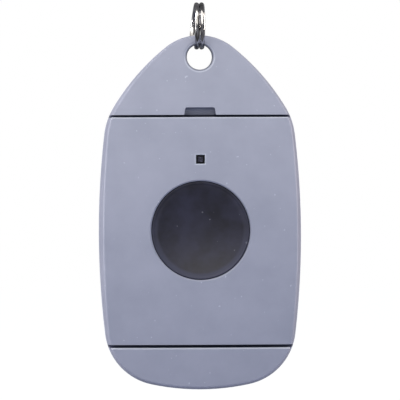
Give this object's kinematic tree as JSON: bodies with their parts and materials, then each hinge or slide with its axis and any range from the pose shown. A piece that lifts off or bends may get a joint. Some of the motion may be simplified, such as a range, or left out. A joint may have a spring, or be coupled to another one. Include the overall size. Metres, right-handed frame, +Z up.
{
  "type": "medical alert pendant",
  "caption": "Hanging call pendant: rounded tapering housing with a round dished call button, a status window, a lift-off front cover and a split ring at its tip.",
  "frame": {"origin": "centre of the split ring that the pendant hangs from", "axes": "+Z up along the pendant as it hangs, -Y out of the button's face, +X to the right seen from the front"},
  "size_m": [0.0388, 0.0117, 0.0744],
  "materials": {
    "housing_plastic": "fine satin texture",
    "cover_plastic": "fine satin texture",
    "button_plastic": "satin",
    "smoked_window": "polished, smoked",
    "polished_steel": "polished",
    "seal_rubber": "matt",
    "silicone": "matt, translucent",
    "retainer_plastic": "satin",
    "screw_steel": "zinc plated",
    "label_film": "matt, blank",
    "board_laminate": "solder mask",
    "chip_resin": "matt moulding resin",
    "can_metal": "plated",
    "trimmer_ceramic": "matt",
    "capacitor_ceramic": "matt with tinned ends",
    "resistor_film": "gloss with tinned ends",
    "led_resin": "clear",
    "antenna_copper": "enamelled copper",
    "cell_steel": "nickel plated",
    "holder_plastic": "satin",
    "contact_spring": "nickel plated spring bronze",
    "switch_resin": "matt",
    "switch_sheet": "bright",
    "stem_plastic": "satin"
  },
  "bodies": {
    "ring": {"split_ring": "polished_steel"},
    "case": {"front_frame": "housing_plastic", "cover_seal": "seal_rubber", "rear_shell": "housing_plastic", "rear_label": "label_film", "case_screws": "screw_steel", "circuit_board": "board_laminate", "board_screws": "screw_steel", "indicator_led": "led_resin", "microcontroller_chip": "chip_resin", "transmitter_chip": "chip_resin", "quartz_crystal": "can_metal", "resonator_can": "can_metal", "trimmer_capacitor": "trimmer_ceramic", "chip_capacitors": "capacitor_ceramic", "chip_resistors": "resistor_film", "loop_antenna": "antenna_copper", "battery_cell": "cell_steel", "battery_holder": "holder_plastic", "battery_contact_positive": "contact_spring", "battery_contact_negative": "contact_spring", "switch_housing": "switch_resin", "switch_plate": "switch_sheet", "switch_dome": "contact_spring", "switch_terminals": "switch_sheet"},
    "cover": {"front_cover": "cover_plastic", "button_seal": "silicone", "button_retainer": "retainer_plastic", "retainer_screws": "screw_steel", "light_pipe": "smoked_window"},
    "button": {"button_cap": "button_plastic"},
    "switch": {"switch_stem": "stem_plastic"}
  },
  "joints": [
    {"name": "pendant_swing", "type": "hinge", "parent": "ring", "child": "case", "pos_m": [0, 0, -0.00601], "axis": [0, 1, 0], "range_deg": [-25, 25]},
    {"name": "cover_lift", "type": "slide", "parent": "case", "child": "cover", "axis": [0, -1, 0], "range_m": [0, 0.014]},
    {"name": "button_press", "type": "slide", "parent": "cover", "child": "button", "axis": [0, 1, 0], "range_m": [0, 0.0005], "stiffness_N_per_m": 2000, "deforming": ["button_seal"]},
    {"name": "switch_press", "type": "slide", "parent": "case", "child": "switch", "axis": [0, 1, 0], "range_m": [0, 0.0005], "stiffness_N_per_m": 200, "deforming": ["switch_dome"]}
  ],
  "couplings": [
    {"joint": "switch_press", "follows": "button_press", "ratio": 1}
  ]
}
